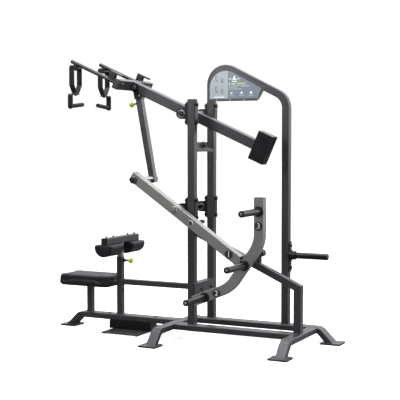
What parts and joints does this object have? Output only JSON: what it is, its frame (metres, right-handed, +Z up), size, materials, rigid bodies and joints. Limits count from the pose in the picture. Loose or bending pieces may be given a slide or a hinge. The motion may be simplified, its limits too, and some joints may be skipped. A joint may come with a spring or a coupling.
{
  "type": "lat pulldown machine",
  "caption": "Plate-loaded lat pulldown machine: seat, thigh rollers, overhead swinging arm with swivel handles, linked to a lever with weight horns.",
  "frame": {"origin": "centre of the bounding box on the floor", "axes": "+X towards the rear of the machine, +Y towards its far side (left hand of a seated user), +Z up"},
  "size_m": [2.435, 0.9503, 2.2403],
  "materials": {
    "frame_paint": "dark charcoal metallic powder coat",
    "lever_paint": "mid grey metallic powder coat",
    "black_steel": "satin black coated steel",
    "link_paint": "dark charcoal metallic powder coat",
    "steel": "turned steel",
    "bolt_steel": "black oxide fasteners",
    "black_plastic": "moulded caps",
    "black_rubber": "moulded rubber",
    "gloss_black": "gloss black enamel",
    "vinyl": "black upholstery vinyl",
    "plywood": "black stained board",
    "sign_sheet": "dark sheet metal",
    "sign_print": "printed panel",
    "rivet": "plain",
    "lime_plastic": "lime green moulded knob",
    "disc_paint": "dark disc with a pale digit",
    "thigh_tube": "light grey metallic paint",
    "grip_rubber": "ribbed rubber sleeve"
  },
  "bodies": {
    "frame": {"near_base_tube": "frame_paint", "far_base_tube": "frame_paint", "front_crossbar": "frame_paint", "rear_crossbar": "frame_paint", "seat_beam": "frame_paint", "near_upright": "frame_paint", "arch_frame": "frame_paint", "rear_brace": "frame_paint", "stop_plate": "frame_paint", "lower_cross_plate": "frame_paint", "mid_beam": "frame_paint", "bearing_plates": "black_steel", "bearing_housings": "black_steel", "bearing_inserts": "steel", "bearing_bolts": "bolt_steel", "end_caps": "black_plastic", "sign_board": "sign_sheet", "sign_face": "sign_print", "sign_rivets": "rivet", "storage_bracket": "black_steel", "storage_horn": "black_steel", "frame_bolts": "bolt_steel", "rubber_bumpers": "black_rubber", "seat_post": "frame_paint", "seat_board": "plywood", "seat_pad": "vinyl", "thigh_column": "frame_paint", "foot_box": "black_steel", "foot_tread": "black_steel"},
    "upper_arm": {"upper_arm": "frame_paint", "arm_caps": "black_plastic", "counterweight": "black_steel", "handle_bars": "gloss_black", "bar_brackets": "black_steel", "hanger_bosses": "black_steel", "upper_shaft": "steel"},
    "link": {"link_tube": "link_paint", "link_head": "black_steel", "link_knob": "lime_plastic"},
    "weight_lever": {"lever_tube": "lever_paint", "weight_carrier": "lever_paint", "weight_horns": "black_steel", "horn_flanges": "black_plastic", "lever_caps": "black_plastic", "number_discs": "disc_paint", "lower_shaft": "steel"},
    "thigh_roller": {"thigh_slider": "thigh_tube", "thigh_crossbar": "frame_paint", "thigh_caps": "black_plastic", "thigh_pads": "vinyl", "thigh_bolts": "bolt_steel"},
    "thigh_pin": {"thigh_pin": "steel", "thigh_knob": "lime_plastic"},
    "near_hanger": {"near_hanger": "black_steel"},
    "near_handle": {"near_handle": "black_steel"},
    "near_grip": {"near_grip": "grip_rubber"},
    "far_hanger": {"far_hanger": "black_steel"},
    "far_handle": {"far_handle": "black_steel"},
    "far_grip": {"far_grip": "grip_rubber"}
  },
  "joints": [
    {"name": "arm_hinge", "type": "hinge", "parent": "frame", "child": "upper_arm", "pos_m": [0.0065, 0.165, 1.79], "axis": [0, -1, 0], "range_deg": [0, 35]},
    {"name": "lever_hinge", "type": "hinge", "parent": "frame", "child": "weight_lever", "pos_m": [0.0065, 0.165, 1.042], "axis": [0, -1, 0], "range_deg": [0, 46.5]},
    {"name": "link_hinge", "type": "hinge", "parent": "upper_arm", "child": "link", "pos_m": [-0.49145, 0.165, 2.00806], "axis": [0, -1, 0], "range_deg": [-37, 0]},
    {"name": "thigh_slide", "type": "slide", "parent": "frame", "child": "thigh_roller", "axis": [0, 0, 1], "range_m": [0, 0.15]},
    {"name": "thigh_pin_slide", "type": "slide", "parent": "frame", "child": "thigh_pin", "axis": [1, 0, 0], "range_m": [-0.012, 0]},
    {"name": "near_hanger_hinge", "type": "hinge", "parent": "upper_arm", "child": "near_hanger", "pos_m": [-0.95315, -0.055, 2.16878], "axis": [0, -1, 0], "range_deg": [-60, 60]},
    {"name": "far_hanger_hinge", "type": "hinge", "parent": "upper_arm", "child": "far_hanger", "pos_m": [-0.95315, 0.385, 2.16878], "axis": [0, -1, 0], "range_deg": [-60, 60]},
    {"name": "near_handle_swivel", "type": "hinge", "parent": "near_hanger", "child": "near_handle", "pos_m": [-0.95315, -0.055, 1.96878], "axis": [0, 0, 1], "continuous": true},
    {"name": "far_handle_swivel", "type": "hinge", "parent": "far_hanger", "child": "far_handle", "pos_m": [-0.95315, 0.385, 1.96878], "axis": [0, 0, 1], "continuous": true},
    {"name": "near_grip_spin", "type": "hinge", "parent": "near_handle", "child": "near_grip", "pos_m": [-0.95315, -0.134, 1.85678], "axis": [0, 0.9954, 0.0958], "continuous": true},
    {"name": "far_grip_spin", "type": "hinge", "parent": "far_handle", "child": "far_grip", "pos_m": [-0.95315, 0.464, 1.85678], "axis": [0, 0.9954, -0.0958], "continuous": true}
  ],
  "couplings": [
    {"joint": "lever_hinge", "follows": "arm_hinge", "ratio": 1.3261},
    {"joint": "link_hinge", "follows": "arm_hinge", "ratio": -1.053}
  ]
}
